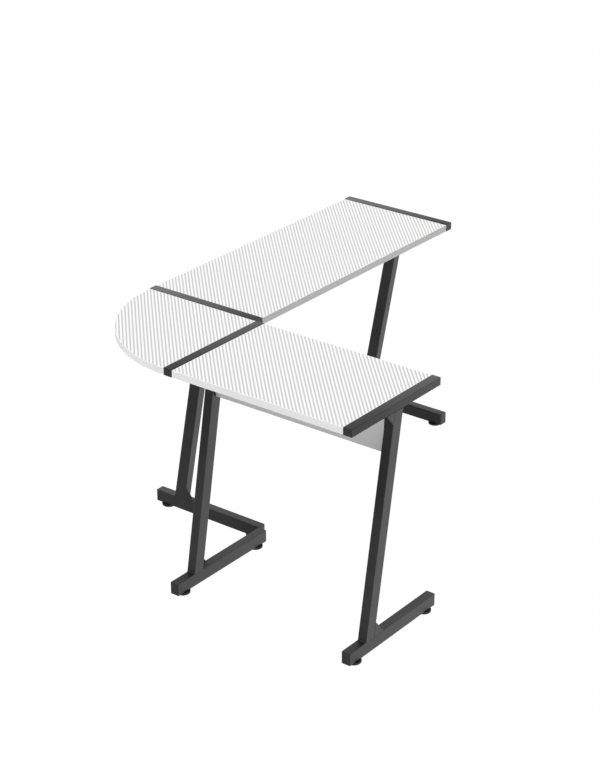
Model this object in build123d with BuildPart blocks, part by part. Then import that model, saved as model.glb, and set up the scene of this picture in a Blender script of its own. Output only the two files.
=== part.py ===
from build123d import *
from dataclasses import dataclass
import os

# Corner desk: a long wing and a short wing at a right angle, joined by a quarter-round corner worktop,
# on four welded Z-frames of rectangular steel tube with levelling glides.
#
# Millimetres, +Z up. The origin is on the floor, under the middle of the plan rectangle that the desk
# and its glides fill. +X runs along the short wing and +Y along the long wing. The inner edge of each wing
# is the one that the person sits at. The outer edge is the other one. The inner corner is where the two
# inner edges meet, and the corner worktop is a quarter disc about that point.

os.makedirs("parts", exist_ok=True)

# ---- Overall sizes ----
desk_height = 750.0  # floor to the top of the rails
wing_depth = 420.0  # inner edge to outer edge, and the radius of the corner worktop
long_wing_length = 1041.0  # inner corner to the outer face of the long wing's end frame
short_wing_length = 663.0  # inner corner to the outer face of the short wing's end frame

# ---- Worktops ----
board_thickness = 22.0
board_drop = 2.0  # top of the boards below the top of the rails
board_gap = 0.5  # between a board's end and a rail
band_thickness = 2.0  # plastic edge band
band_joint = 0.1  # between two strips of edge band
band_round = 1.0  # rounding of the bands' long edges

# ---- Frame tubes ----
tube_width = 30.0  # all three tubes of a frame are this wide
tube_wall = 1.5
tube_radius = 2.0  # outer corners of the tube section
rail_lip = 1.0  # underside of the top rail below the underside of the boards
foot_rail_height = 40.0
post_depth = 40.0  # across the slanted post, square to its length
post_top_inset = 201.5  # inner edge to the middle of the post's top
post_foot_inset = 96.0  # outer edge to the middle of the post's foot
gusset_thickness = 3.0
top_gusset_leg = 36.0
foot_gusset_leg = 44.0
cap_flange = 2.0  # end cap outside the tube
cap_plug = 8.0  # end cap inside the tube
cap_wall = 1.5
cap_clearance = 0.2
cap_chamfer = 0.6

# ---- Levelling glides ----
pad_diameter = 45.0
pad_height = 8.0
pad_bottom_round = 3.0
pad_top_round = 1.0
boss_diameter = 20.0  # low round boss on top of the pad, against the foot rail
boss_height = 0.8
stud_diameter = 8.0
stud_floor = 3.0  # bottom of the stud above the floor, inside the pad
stud_spare = 2.0  # stud above the nut at full travel
thread_clearance = 0.05
press_clearance = 0.02
rail_hole_clearance = 0.5
nut_flats = 13.0
nut_height = 6.5
glide_travel = 10.0
inner_glide_inset = 35.0  # from the foot rail's inner end
outer_glide_inset = 38.0  # from the foot rail's outer end

# ---- Worktop tabs and screws ----
tab_thickness = 3.0
tab_width = 30.0
tab_reach = 26.0  # from the rail's side, under the board
tab_crank = 3.0  # length of the sloped step
tab_middle_gap = 3.0  # from a tab to the middle of the rail
tab_inset = 60.0  # middle of a tab to the rail's end
tab_screw_reach = 15.0  # from the rail's side to the screw
screw_diameter = 4.4
screw_length = 15.0
screw_head_diameter = 9.0
screw_head_height = 2.6
screw_head_round = 0.9
screw_hole_clearance = 0.3

# ---- Modesty panels ----
panel_thickness = 18.0
panel_height = 128.0
panel_top_gap = 2.0  # below the boards
panel_end_gap = 1.0  # between the panel and a post
panel_offset = 7.5  # middle of the panel, from the middle of the posts towards the outer edge
panel_tab_height = 60.0
panel_tab_reach = 30.0
panel_tab_drop = 8.0  # top of the tab below the top of the panel
panel_screw_reach = 18.0
panel_screw_spacing = 34.0

# ---- Sizes that follow ----
up = Vector(0, 0, 1)
top_rail_height = board_drop + board_thickness + rail_lip
rail_under = desk_height - top_rail_height
board_top = desk_height - board_drop
board_under = board_top - board_thickness
foot_rail_bottom = pad_height + boss_height
foot_rail_top = foot_rail_bottom + foot_rail_height
post_rise = rail_under - foot_rail_top
post_run = wing_depth - post_foot_inset - post_top_inset
post_lean = post_run / post_rise  # run towards the outer edge for each millimetre down
post_secant = (1 + post_lean**2) ** 0.5
post_half = post_depth / 2 * post_secant  # half of the post's depth, measured level
half_tube = tube_width / 2
glide_overhang = max(pad_diameter / 2 - half_tube, 0.0)  # of the pads outside the end frames
plan_length = Vector(short_wing_length, long_wing_length, 0) + Vector(1, 1, 0) * glide_overhang
inner_corner = (Vector(wing_depth, wing_depth, 0) - plan_length) / 2
panel_top = board_under - panel_top_gap
panel_bottom = panel_top - panel_height
stud_top = foot_rail_bottom + tube_wall + nut_height + glide_travel + stud_spare


def post_middle(z: float) -> float:
    """Distance from the inner edge to the middle of a post at height z."""
    return post_top_inset + (rail_under - z) * post_lean


@dataclass(frozen=True)
class FramePlace:
    """Where one Z-frame stands: its inner end on the floor, in the middle of the tube's width."""

    name: str
    start: Vector
    along: Vector  # from the inner end to the outer end
    outward: Vector  # towards the face that the gussets are flush with
    carries_corner: bool

    def point(self, u: float, z: float, across: float = 0.0) -> Vector:
        """Point u along the frame, z up, and across towards the gusset face."""
        return self.start + self.along * u + self.outward * across + up * z

    def side_plane(self, across: float) -> Plane:
        """Side view of the frame: x along it, y up."""
        return Plane(self.point(0, 0, across), x_dir=self.along, z_dir=self.along.cross(up))

    def section_plane(self, u: float, z: float, direction: Vector) -> Plane:
        """Plane that a tube section is drawn on, facing along direction."""
        return Plane(self.point(u, z), x_dir=self.outward, z_dir=direction)

    def board_sides(self) -> list[int]:
        """Sides with a worktop: -1 is the wing's side, and 1 is the gusset side."""
        return [-1, 1] if self.carries_corner else [-1]

    def glide_insets(self) -> dict[str, float]:
        """Distance of each glide from the frame's inner end."""
        return {"inner": inner_glide_inset, "outer": wing_depth - outer_glide_inset}


@dataclass(frozen=True)
class WingPlace:
    """One straight wing, between its corner frame and its end frame."""

    name: str
    length: float
    along: Vector  # from the inner edge to the outer edge
    run: Vector  # from the corner to the far end

    def point(self, u: float, t: float, z: float) -> Vector:
        """Point u from the inner edge, t from the corner, and z up."""
        return inner_corner + self.along * u + self.run * t + up * z


west, south, east, north = Vector(-1, 0, 0), Vector(0, -1, 0), Vector(1, 0, 0), Vector(0, 1, 0)
frames = [
    FramePlace("long_end", inner_corner + north * (long_wing_length - half_tube), west, north, False),
    FramePlace("long_corner", inner_corner + north * half_tube, west, south, True),
    FramePlace("short_corner", inner_corner + east * half_tube, south, west, True),
    FramePlace("short_end", inner_corner + east * (short_wing_length - half_tube), south, east, False),
]
wings = [
    WingPlace("long", long_wing_length, west, north),
    WingPlace("short", short_wing_length, south, east),
]


def save(builder: BuildPart, label: str) -> None:
    """Labels a finished piece and writes it to its own STEP file."""
    builder.part.label = label
    export_step(builder.part, f"parts/{label}.step")


def box_between(a: Vector, b: Vector) -> None:
    """Adds a box with a and b as opposite corners to the part being built."""
    size = b - a
    with Locations((a + b) * 0.5):
        Box(abs(size.X), abs(size.Y), abs(size.Z))


def tube_sketch(depth: float) -> None:
    """Adds a rectangular tube's section to the sketch being built."""
    RectangleRounded(tube_width, depth, tube_radius)
    inner_radius = tube_radius - tube_wall
    RectangleRounded(
        tube_width - 2 * tube_wall, depth - 2 * tube_wall, inner_radius, mode=Mode.SUBTRACT
    )


def end_cap(face: Plane, depth: float) -> None:
    """Adds a hollow plug with a flange. The plane is the cap's outer face and looks into the tube."""
    with BuildSketch(face) as flange:
        RectangleRounded(tube_width, depth, tube_radius)
    extrude(flange.sketch, amount=cap_flange)
    plug_margin = 2 * (tube_wall + cap_clearance)
    with BuildSketch(face.offset(cap_flange)) as plug:
        Rectangle(tube_width - plug_margin, depth - plug_margin)
        offset(amount=-cap_wall, mode=Mode.SUBTRACT)
    extrude(plug.sketch, amount=cap_plug)


def screw(seat: Plane) -> None:
    """Adds a round-headed wood screw. The plane is where the head seats, and looks into the wood."""
    with BuildSketch(seat) as head_outline:
        Circle(screw_head_diameter / 2)
    head = extrude(head_outline.sketch, amount=-screw_head_height)
    rim = head.edges().filter_by(GeomType.CIRCLE).sort_by(Axis(seat.origin, seat.z_dir))[0]
    fillet(rim, screw_head_round)
    with BuildSketch(seat) as shank_outline:
        Circle(screw_diameter / 2)
    extrude(shank_outline.sketch, amount=screw_length)


def tab_screw_seats(frame: FramePlace, side: int) -> list[Plane]:
    """Seats of the screws that hold a worktop to one side of a frame, on the tabs' undersides."""
    across = side * (half_tube + tab_screw_reach)
    return [
        Plane(frame.point(u, board_under - tab_thickness, across))
        for u in (tab_inset, wing_depth - tab_inset)
    ]


def cut_pilot_holes(seats: list[Plane]) -> None:
    """Cuts the hole of each screw into the board being built."""
    for seat in seats:
        with BuildSketch(seat) as hole:
            Circle(screw_diameter / 2 + press_clearance)
        extrude(hole.sketch, amount=screw_length, mode=Mode.SUBTRACT)


# ---- Straight worktops: a laminated core with four strips of edge band ----
for wing in wings:
    near_end = tube_width + board_gap
    far_end = wing.length - tube_width - board_gap
    seats = [
        seat
        for frame in frames
        if frame.name.startswith(wing.name)
        for seat in tab_screw_seats(frame, -1)
    ]

    with BuildPart() as worktop:
        box_between(
            wing.point(band_thickness, near_end + band_thickness, board_under),
            wing.point(wing_depth - band_thickness, far_end - band_thickness, board_top),
        )
        cut_pilot_holes(seats)
    save(worktop, f"{wing.name}_worktop")

    with BuildPart() as worktop_bands:
        for edge in (0, wing_depth - band_thickness):
            box_between(
                wing.point(edge, near_end, board_under),
                wing.point(edge + band_thickness, far_end, board_top),
            )
        run_axis = Axis((0, 0, 0), wing.run)
        depth_axis = Axis((0, 0, 0), wing.along)
        long_edges = worktop_bands.edges().filter_by(run_axis).group_by(depth_axis)
        fillet(long_edges[0] + long_edges[-1], band_round)
        for end in (near_end, far_end - band_thickness):
            box_between(
                wing.point(band_thickness + band_joint, end, board_under),
                wing.point(wing_depth - band_thickness - band_joint, end + band_thickness, board_top),
            )
    save(worktop_bands, f"{wing.name}_worktop_bands")

# ---- Corner worktop: a quarter disc about the inner corner ----
corner_plane = Plane(inner_corner + up * board_under)
corner_seats = [seat for frame in frames if frame.carries_corner for seat in tab_screw_seats(frame, 1)]
core_radius = wing_depth - band_thickness
core_edge = board_gap + band_thickness

with BuildPart() as corner_worktop:
    with BuildSketch(corner_plane):
        Circle(core_radius)
        with Locations((-core_edge, -core_edge)):
            Rectangle(wing_depth, wing_depth, align=(Align.MAX, Align.MAX), mode=Mode.INTERSECT)
    extrude(amount=board_thickness)
    cut_pilot_holes(corner_seats)
save(corner_worktop, "corner_worktop")

with BuildPart() as corner_worktop_bands:
    with BuildSketch(corner_plane):
        Circle(wing_depth)
        Circle(core_radius, mode=Mode.SUBTRACT)
        with Locations((-board_gap, -board_gap)):
            Rectangle(wing_depth, wing_depth, align=(Align.MAX, Align.MAX), mode=Mode.INTERSECT)
    extrude(amount=board_thickness)
    outer_arcs = [
        edge
        for edge in corner_worktop_bands.edges().filter_by(GeomType.CIRCLE)
        if edge.radius > core_radius + band_thickness / 2
    ]
    fillet(outer_arcs, band_round)
    straight_length = (core_radius**2 - core_edge**2) ** 0.5 - band_joint
    with BuildSketch(corner_plane):
        with Locations((-board_gap, -board_gap)):
            Rectangle(band_thickness, straight_length - board_gap, align=(Align.MAX, Align.MAX))
        with Locations((-core_edge - band_joint, -board_gap)):
            Rectangle(
                straight_length - core_edge - band_joint, band_thickness, align=(Align.MAX, Align.MAX)
            )
    extrude(amount=board_thickness)
save(corner_worktop_bands, "corner_worktop_bands")

# ---- Modesty panels: an upright board between a wing's two posts ----
panel_middle = post_middle((panel_top + panel_bottom) / 2) + panel_offset
panel_near_face = panel_middle - panel_thickness / 2  # face towards the inner edge
panel_far_face = panel_middle + panel_thickness / 2
panel_tab_top = panel_top - panel_tab_drop
panel_tab_bottom = panel_tab_top - panel_tab_height
panel_screw_heights = [
    (panel_tab_top + panel_tab_bottom + offset_sign * panel_screw_spacing) / 2 for offset_sign in (-1, 1)
]
panel_screw_seats = {
    wing.name: [
        Plane(
            wing.point(panel_near_face - tab_thickness, t, z),
            x_dir=up,
            z_dir=wing.along,
        )
        for t in (tube_width + panel_screw_reach, wing.length - tube_width - panel_screw_reach)
        for z in panel_screw_heights
    ]
    for wing in wings
}

for wing in wings:
    near_end = tube_width + panel_end_gap
    far_end = wing.length - tube_width - panel_end_gap

    with BuildPart() as modesty_panel:
        box_between(
            wing.point(panel_near_face, near_end, panel_bottom + band_thickness),
            wing.point(panel_far_face, far_end, panel_top),
        )
        cut_pilot_holes(panel_screw_seats[wing.name])
    save(modesty_panel, f"{wing.name}_modesty_panel")

    with BuildPart() as modesty_band:
        box_between(
            wing.point(panel_near_face, near_end, panel_bottom),
            wing.point(panel_far_face, far_end, panel_bottom + band_thickness),
        )
        run_axis = Axis((0, 0, 0), wing.run)
        lowest_edges = modesty_band.edges().filter_by(run_axis).group_by(Axis.Z)[0]
        fillet(lowest_edges, band_round)
    save(modesty_band, f"{wing.name}_modesty_band")

# ---- Z-frames: top rail, slanted post, foot rail and two gussets each ----
tube_length = wing_depth - 2 * cap_flange

for frame in frames:
    with BuildPart() as top_rail:
        middle_height = desk_height - top_rail_height / 2
        with BuildSketch(frame.section_plane(cap_flange, middle_height, frame.along)):
            tube_sketch(top_rail_height)
        extrude(amount=tube_length)
    save(top_rail, f"{frame.name}_top_rail")

    with BuildPart() as post:
        # The tube starts one post depth below the foot rail's top and is trimmed level at both ends.
        start_height = foot_rail_top - post_depth
        climb = (up - frame.along * post_lean).normalized()
        with BuildSketch(frame.section_plane(post_middle(start_height), start_height, climb)):
            tube_sketch(post_depth)
        extrude(amount=(post_rise + 2 * post_depth) * post_secant)
        split(bisect_by=Plane.XY.offset(foot_rail_top), keep=Keep.TOP)
        split(bisect_by=Plane.XY.offset(rail_under), keep=Keep.BOTTOM)
    save(post, f"{frame.name}_post")

    with BuildPart() as foot_rail:
        middle_height = foot_rail_bottom + foot_rail_height / 2
        with BuildSketch(frame.section_plane(cap_flange, middle_height, frame.along)):
            tube_sketch(foot_rail_height)
        extrude(amount=tube_length)
        for inset in frame.glide_insets().values():
            with BuildSketch(Plane(frame.point(inset, foot_rail_bottom))):
                Circle(stud_diameter / 2 + rail_hole_clearance)
            extrude(amount=tube_wall, mode=Mode.SUBTRACT)
    save(foot_rail, f"{frame.name}_foot_rail")

    gusset_plane = frame.side_plane(half_tube - gusset_thickness / 2)

    with BuildPart() as top_gusset:
        # Fills the angle between the top rail and the outer side of the post.
        corner_u = post_middle(rail_under) + post_half
        side_z = rail_under - top_gusset_leg
        with BuildSketch(gusset_plane):
            with BuildLine():
                Polyline(
                    (corner_u, rail_under),
                    (corner_u + top_gusset_leg, rail_under),
                    (post_middle(side_z) + post_half, side_z),
                    close=True,
                )
            make_face()
        extrude(amount=gusset_thickness / 2, both=True)
    save(top_gusset, f"{frame.name}_top_gusset")

    with BuildPart() as foot_gusset:
        # Fills the angle between the foot rail and the inner side of the post.
        corner_u = post_middle(foot_rail_top) - post_half
        side_z = foot_rail_top + foot_gusset_leg
        with BuildSketch(gusset_plane):
            with BuildLine():
                Polyline(
                    (corner_u, foot_rail_top),
                    (corner_u - foot_gusset_leg, foot_rail_top),
                    (post_middle(side_z) - post_half, side_z),
                    close=True,
                )
            make_face()
        extrude(amount=gusset_thickness / 2, both=True)
    save(foot_gusset, f"{frame.name}_foot_gusset")

# ---- End caps: plastic plugs that close both ends of each rail ----
rail_sections = {
    "top_rail": (desk_height - top_rail_height / 2, top_rail_height),
    "foot_rail": (foot_rail_bottom + foot_rail_height / 2, foot_rail_height),
}

for rail, (middle_height, depth) in rail_sections.items():
    with BuildPart() as end_caps:
        for frame in frames:
            end_cap(frame.section_plane(0, middle_height, frame.along), depth)
            end_cap(frame.section_plane(wing_depth, middle_height, -frame.along), depth)
        outer_rims = [
            edge
            for frame in frames
            for group in (0, -1)
            for edge in end_caps.faces()
            .filter_by(Axis((0, 0, 0), frame.along))
            .group_by(Axis((0, 0, 0), frame.along))[group]
            .edges()
        ]
        chamfer(ShapeList(set(outer_rims)), cap_chamfer)
    save(end_caps, f"{rail}_end_caps")

# ---- Worktop tabs: cranked steel tabs, welded under the top rails ----
with BuildPart() as worktop_tabs:
    for frame in frames:
        for side in frame.board_sides():
            outward = frame.outward * side
            for u in (tab_inset, wing_depth - tab_inset):
                with BuildSketch(Plane(frame.point(u, 0), x_dir=outward, z_dir=outward.cross(up))):
                    with BuildLine():
                        Polyline(
                            (tab_middle_gap, rail_under),
                            (half_tube, rail_under),
                            (half_tube + tab_crank, board_under),
                            (half_tube + tab_reach, board_under),
                            (half_tube + tab_reach, board_under - tab_thickness),
                            (half_tube + tab_crank, board_under - tab_thickness),
                            (half_tube, rail_under - tab_thickness),
                            (tab_middle_gap, rail_under - tab_thickness),
                            close=True,
                        )
                    make_face()
                extrude(amount=tab_width / 2, both=True)
            for seat in tab_screw_seats(frame, side):
                with BuildSketch(seat):
                    Circle(screw_diameter / 2 + screw_hole_clearance)
                extrude(amount=tab_thickness, mode=Mode.SUBTRACT)
save(worktop_tabs, "worktop_tabs")

with BuildPart() as worktop_screws:
    for frame in frames:
        for side in frame.board_sides():
            for seat in tab_screw_seats(frame, side):
                screw(seat)
save(worktop_screws, "worktop_screws")

# ---- Modesty panel tabs: flat steel tabs, welded to the posts behind each panel ----
with BuildPart() as modesty_tabs:
    for wing in wings:
        for post_face, reach in (
            (tube_width, panel_tab_reach),
            (wing.length - tube_width, -panel_tab_reach),
        ):
            box_between(
                wing.point(panel_near_face - tab_thickness, post_face, panel_tab_bottom),
                wing.point(panel_near_face, post_face + reach, panel_tab_top),
            )
        for seat in panel_screw_seats[wing.name]:
            with BuildSketch(seat):
                Circle(screw_diameter / 2 + screw_hole_clearance)
            extrude(amount=tab_thickness, mode=Mode.SUBTRACT)
save(modesty_tabs, "modesty_panel_tabs")

with BuildPart() as modesty_screws:
    for wing in wings:
        for seat in panel_screw_seats[wing.name]:
            screw(seat)
save(modesty_screws, "modesty_panel_screws")

# ---- Weld nuts: inside the foot rails, on their bottom walls ----
with BuildPart() as weld_nuts:
    for frame in frames:
        for inset in frame.glide_insets().values():
            with BuildSketch(Plane(frame.point(inset, foot_rail_bottom + tube_wall))):
                RegularPolygon(nut_flats / 2, 6, major_radius=False)
                Circle(stud_diameter / 2 + thread_clearance, mode=Mode.SUBTRACT)
            extrude(amount=nut_height)
save(weld_nuts, "glide_weld_nuts")

# ---- Levelling glides: a wide plastic pad with a low boss, moulded on a threaded stud ----
for frame in frames:
    for end, inset in frame.glide_insets().items():
        with BuildPart() as glide_pad:
            with BuildSketch(Plane(frame.point(inset, 0))):
                Circle(pad_diameter / 2)
            extrude(amount=pad_height)
            rims = glide_pad.edges().filter_by(GeomType.CIRCLE).sort_by(Axis.Z)
            fillet(rims[0], pad_bottom_round)
            fillet(rims[-1], pad_top_round)
            with BuildSketch(Plane(frame.point(inset, pad_height))):
                Circle(boss_diameter / 2)
            extrude(amount=boss_height)
            with BuildSketch(Plane(frame.point(inset, stud_floor))):
                Circle(stud_diameter / 2 + press_clearance)
            extrude(amount=foot_rail_bottom - stud_floor, mode=Mode.SUBTRACT)
        save(glide_pad, f"{frame.name}_{end}_glide_pad")

        with BuildPart() as glide_stud:
            with BuildSketch(Plane(frame.point(inset, stud_floor))):
                Circle(stud_diameter / 2)
            extrude(amount=stud_top - stud_floor)
        save(glide_stud, f"{frame.name}_{end}_glide_stud")
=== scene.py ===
"""Corner desk: striped white worktops on four dark Z-frames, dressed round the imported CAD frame.

Every length is in metres, in the CAD model's own frame: +Z up, +X along the short wing, +Y along the long
wing, origin on the floor under the middle of the desk. Finishes are frozen dataclasses that build one
procedural material each. Sub-assemblies are classes that model their pieces and dress the CAD nodes.
"""

import logging
import math
from collections.abc import Callable
from dataclasses import dataclass, field
from enum import Enum

import bpy
from mathutils import Matrix, Quaternion, Vector


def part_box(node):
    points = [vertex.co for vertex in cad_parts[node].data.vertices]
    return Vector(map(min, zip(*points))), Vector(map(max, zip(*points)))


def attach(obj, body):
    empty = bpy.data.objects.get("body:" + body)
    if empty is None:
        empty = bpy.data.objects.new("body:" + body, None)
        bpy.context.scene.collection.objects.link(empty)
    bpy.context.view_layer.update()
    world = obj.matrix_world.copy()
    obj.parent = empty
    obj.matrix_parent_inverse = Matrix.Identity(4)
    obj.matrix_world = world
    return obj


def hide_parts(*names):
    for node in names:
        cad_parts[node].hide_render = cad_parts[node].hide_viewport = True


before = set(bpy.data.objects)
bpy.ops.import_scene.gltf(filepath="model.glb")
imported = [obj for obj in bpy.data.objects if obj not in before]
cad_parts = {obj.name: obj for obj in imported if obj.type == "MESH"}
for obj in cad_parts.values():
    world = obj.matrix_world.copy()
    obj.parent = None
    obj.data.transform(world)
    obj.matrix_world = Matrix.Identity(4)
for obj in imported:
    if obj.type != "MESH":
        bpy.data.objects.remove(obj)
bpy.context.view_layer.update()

log = logging.getLogger("corner_desk")

UP = Vector((0.0, 0.0, 1.0))
ALONG_X = Vector((1.0, 0.0, 0.0))
CAP_FLANGE = 0.002
TUBE_WALL = 0.0015
FACING = 0.9  # a face looks one way if that much of its normal lies that way
MERGE_DISTANCE = 0.000001
SMOOTH_ANGLE = math.radians(35.0)
WHITE = (1.0, 1.0, 1.0, 1.0)
ROOT_BODY = "desk"


class FrameName(Enum):
    """The four Z-frames, by the start of their nodes' names."""

    LONG_END = "long_end"
    LONG_CORNER = "long_corner"
    SHORT_CORNER = "short_corner"
    SHORT_END = "short_end"

    def along(self) -> Vector:
        """Direction from the frame's inner end to its outer end."""
        return Vector((-1.0, 0.0, 0.0)) if self.value.startswith("long") else Vector((0.0, -1.0, 0.0))

    def gusset_side(self) -> int:
        """Side that the gussets are flush with, in the frame's own axes: 1 for +Y, or -1."""
        return 1 if self in (FrameName.LONG_CORNER, FrameName.SHORT_END) else -1

    def board_sides(self) -> tuple:
        """Sides that carry a worktop, in the frame's own axes."""
        return (-1, 1) if self.value.endswith("corner") else (-self.gusset_side(),)

    def depth(self) -> float:
        """Length of the frame from its inner end to its outer end, with the end caps."""
        low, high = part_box(f"{self.value}_foot_rail")
        return abs((high - low).dot(self.along())) + 2 * CAP_FLANGE

    def seat(self) -> Matrix:
        """Finds the frame's own axes.

        Returns:
            The matrix from them to the desk's. X runs along the frame from its inner end, Z is up from
            the floor, and Y is across, from the middle of the tubes.
        """
        low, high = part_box(f"{self.value}_foot_rail")
        middle = (low + high) / 2
        start = Vector((middle.x, middle.y, 0.0)) - self.along() * self.depth() / 2
        turn = Matrix((self.along(), UP.cross(self.along()), UP)).transposed().to_4x4()
        return Matrix.Translation(start) @ turn


class GlideEnd(Enum):
    """The two ends of a foot rail, by the name that its glide carries."""

    INNER = "inner"
    OUTER = "outer"


# Finishes


class Wiring:
    """A small helper that adds and links the nodes of one node tree."""

    def __init__(self, tree: bpy.types.NodeTree) -> None:
        """Starts with an empty tree.

        Args:
            tree: the material's or the world's node tree.
        """
        self.tree = tree
        self.tree.nodes.clear()

    def add(self, kind: str, **settings: object) -> bpy.types.Node:
        """Adds a node.

        Args:
            kind: the node's type name.
            settings: properties to set on it.

        Returns:
            The new node.
        """
        node = self.tree.nodes.new(kind)
        for key, value in settings.items():
            setattr(node, key, value)
        return node

    def feed(self, target: bpy.types.NodeSocket, value: object) -> None:
        """Links a socket, or sets a constant, on an input socket.

        Args:
            target: the input socket.
            value: an output socket to link, or a constant to set.
        """
        if isinstance(value, bpy.types.NodeSocket):
            self.tree.links.new(value, target)
        else:
            target.default_value = value

    def math(
        self, operation: str, first: object, second: object = 0.0, clamp: bool = False
    ) -> bpy.types.NodeSocket:
        """Adds a Math node.

        Args:
            operation: the node's operation.
            first: a socket or a number.
            second: a socket or a number.
            clamp: whether the result is kept between 0 and 1.

        Returns:
            The node's output.
        """
        node = self.add("ShaderNodeMath", operation=operation, use_clamp=clamp)
        self.feed(node.inputs[0], first)
        self.feed(node.inputs[1], second)
        return node.outputs[0]

    def dot(self, first: object, second: object) -> bpy.types.NodeSocket:
        """Adds a dot product.

        Args:
            first: a socket or a constant vector.
            second: a socket or a constant vector.

        Returns:
            The product.
        """
        node = self.add("ShaderNodeVectorMath", operation="DOT_PRODUCT")
        self.feed(node.inputs[0], first)
        self.feed(node.inputs[1], second)
        return node.outputs["Value"]

    def spread(
        self, value: object, span: tuple, result: tuple, curve: str = "LINEAR"
    ) -> bpy.types.NodeSocket:
        """Maps a range of values onto another one, clamped.

        Args:
            value: the socket to map.
            span: the two values that give the two results.
            result: the two results.
            curve: interpolation of the Map Range node.

        Returns:
            The mapped value.
        """
        node = self.add("ShaderNodeMapRange", interpolation_type=curve)
        for socket, given in zip(node.inputs, (value, *span, *result)):
            self.feed(socket, given)
        return node.outputs[0]


class Graph(Wiring):
    """The nodes of one material, with textures on object coordinates."""

    def __init__(self, name: str) -> None:
        """Starts a material with one surface shader.

        Args:
            name: the material's name.
        """
        self.material = bpy.data.materials.new(name)
        self.material.use_nodes = True
        super().__init__(self.material.node_tree)
        self.surface = self.add("ShaderNodeBsdfPrincipled")
        output = self.add("ShaderNodeOutputMaterial")
        self.feed(output.inputs["Surface"], self.surface.outputs["BSDF"])
        self.place = self.add("ShaderNodeTexCoord").outputs["Object"]

    def finish(self, socket: str, value: object) -> None:
        """Links a socket, or sets a constant, on the surface shader.

        Args:
            socket: name of the shader's input.
            value: an output socket to link, or a constant to set.
        """
        self.feed(self.surface.inputs[socket], value)

    def noise(self, grain: float, detail: float = 2.0, roughness: float = 0.5) -> bpy.types.NodeSocket:
        """Adds a noise texture.

        Args:
            grain: size of the noise's features, in metres.
            detail: number of octaves.
            roughness: strength of the finer octaves.

        Returns:
            The noise value, about 0.5 on average.
        """
        node = self.add("ShaderNodeTexNoise")
        self.feed(node.inputs["Vector"], self.place)
        self.feed(node.inputs["Scale"], 1.0 / grain)
        self.feed(node.inputs["Detail"], detail)
        self.feed(node.inputs["Roughness"], roughness)
        return node.outputs[0]

    def clouds(
        self, grain: float, span: tuple, result: tuple, detail: float = 4.0, roughness: float = 0.6
    ) -> bpy.types.NodeSocket:
        """Adds noise with the middle of its range spread over a range of results.

        Args:
            grain: size of the clouds, in metres.
            span: the two noise values that give the two results.
            result: the two results.
            detail: number of octaves.
            roughness: strength of the finer octaves.

        Returns:
            The clouds' value.
        """
        return self.spread(self.noise(grain, detail, roughness), span, result)

    def blend(self, share: object, first: object, second: object) -> bpy.types.NodeSocket:
        """Mixes two colours.

        Args:
            share: 0 for the first colour and 1 for the second.
            first: linear RGB, or a socket.
            second: linear RGB, or a socket.

        Returns:
            The mixed colour.
        """
        node = self.add("ShaderNodeMix", data_type="RGBA")
        self.feed(node.inputs[0], share)
        for socket, colour in ((node.inputs[6], first), (node.inputs[7], second)):
            self.feed(socket, (*colour, 1.0) if isinstance(colour, tuple) else colour)
        return node.outputs[2]

    def bump(self, height: bpy.types.NodeSocket, depth: float, under: object = None) -> bpy.types.NodeSocket:
        """Adds a bump.

        Args:
            height: height from 0 to 1.
            depth: real height of 1, in metres.
            under: a normal that the bump is added to, or None.

        Returns:
            The bumped normal.
        """
        node = self.add("ShaderNodeBump")
        self.feed(node.inputs["Strength"], 1.0)
        self.feed(node.inputs["Distance"], depth)
        self.feed(node.inputs["Height"], height)
        if under is not None:
            self.feed(node.inputs["Normal"], under)
        return node.outputs["Normal"]

    def edge_mask(self, radius: float, sharpness: float) -> bpy.types.NodeSocket:
        """Finds convex and concave edges by how far a rounded normal leaves the true one.

        Args:
            radius: width of the edge zone, in metres.
            sharpness: factor on the difference of the normals.

        Returns:
            0 on flat faces, rising to 1 at edges.
        """
        rounded = self.add("ShaderNodeBevel", samples=4)
        self.feed(rounded.inputs["Radius"], radius)
        kept = self.dot(rounded.outputs[0], self.add("ShaderNodeNewGeometry").outputs["Normal"])
        return self.math("MULTIPLY", self.math("SUBTRACT", 1.0, kept), sharpness, clamp=True)


@dataclass(frozen=True)
class Finish:
    """A finish that builds one procedural material."""

    name: str

    def build(self) -> bpy.types.Material:
        """Builds the material.

        Returns:
            The material.
        """
        g = Graph(self.name)
        self.paint(g)
        return g.material

    def paint(self, g: Graph) -> None:
        """Wires the finish's own nodes. Every kind of finish has its own way.

        Args:
            g: the material's nodes.
        """
        raise NotImplementedError


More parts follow.
